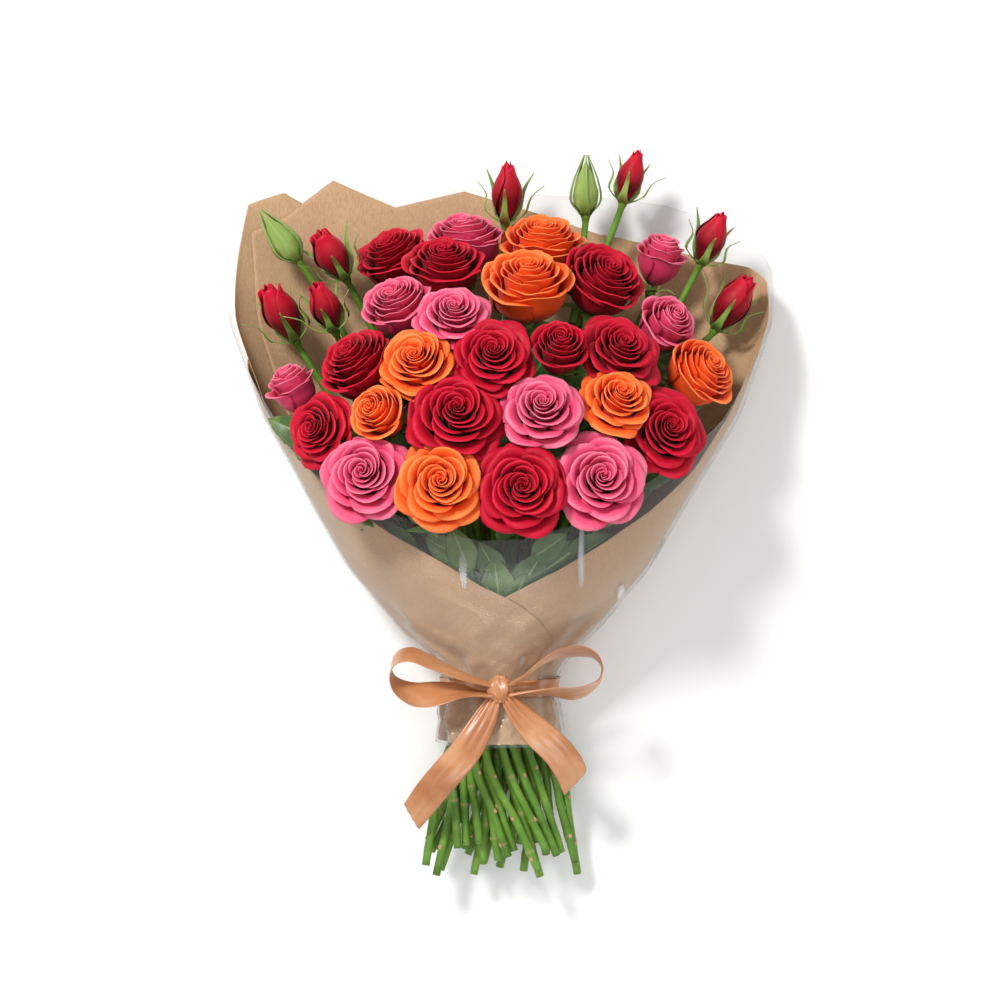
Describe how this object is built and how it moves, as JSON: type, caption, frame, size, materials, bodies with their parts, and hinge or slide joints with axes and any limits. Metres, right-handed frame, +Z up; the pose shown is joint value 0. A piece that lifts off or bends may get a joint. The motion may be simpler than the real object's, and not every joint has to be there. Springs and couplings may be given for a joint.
{
  "type": "rose bouquet",
  "caption": "Hand-tied bouquet of red, pink and orange roses with buds and leaves, in kraft paper and clear film, tied with a copper satin bow, lying on its back.",
  "frame": {"origin": "centre of the flat back of the wrapper, on the surface that the bouquet lies on", "axes": "+Y towards the blooms, -Y towards the cut stem ends, +Z up from the surface, +X to the right seen from above"},
  "size_m": [0.3907, 0.5271, 0.1878],
  "materials": {
    "rose_red": "velvety petals",
    "rose_pink": "soft matt petals",
    "rose_orange": "soft matt petals",
    "leaf_green": "waxy green stems and leaves",
    "kraft_paper": "matt kraft paper with flecks of fibre",
    "clear_film": "clear glossy film",
    "satin": "copper satin",
    "twine": "plain twine"
  },
  "bodies": {
    "root": {"bud_1_red": "rose_red", "bud_3_red": "rose_red", "bud_4_red": "rose_red", "bud_5_red": "rose_red", "bud_7_red": "rose_red", "bud_8_red": "rose_red", "bud_9_red": "rose_red", "clear_film": "clear_film", "kraft_back": "kraft_paper", "kraft_back_left": "kraft_paper", "kraft_front_left": "kraft_paper", "kraft_right": "kraft_paper", "rose_01_pink": "rose_pink", "rose_02_orange": "rose_orange", "rose_03_red": "rose_red", "rose_04_red": "rose_red", "rose_05_orange": "rose_orange", "rose_06_red": "rose_red", "rose_07_pink": "rose_pink", "rose_08_pink": "rose_pink", "rose_09_pink": "rose_pink", "rose_10_pink": "rose_pink", "rose_11_red": "rose_red", "rose_12_orange": "rose_orange", "rose_13_red": "rose_red", "rose_14_red": "rose_red", "rose_15_red": "rose_red", "rose_16_orange": "rose_orange", "rose_17_pink": "rose_pink", "rose_18_orange": "rose_orange", "rose_19_red": "rose_red", "rose_20_pink": "rose_pink", "rose_21_orange": "rose_orange", "rose_22_red": "rose_red", "rose_23_red": "rose_red", "rose_24_pink": "rose_pink", "rose_25_orange": "rose_orange", "rose_26_red": "rose_red", "rose_27_pink": "rose_pink", "satin_ribbon": "satin", "spray_back_left": "leaf_green", "spray_back_right": "leaf_green", "spray_left": "leaf_green", "spray_middle": "leaf_green", "spray_right": "leaf_green", "stem_tie": "twine", "stems_1": "leaf_green", "stems_2": "leaf_green", "stems_3": "leaf_green", "stems_4": "leaf_green", "stems_5": "leaf_green", "stems_6": "leaf_green", "stems_7": "leaf_green", "stems_8": "leaf_green", "stems_9": "leaf_green"}
  },
  "joints": []
}
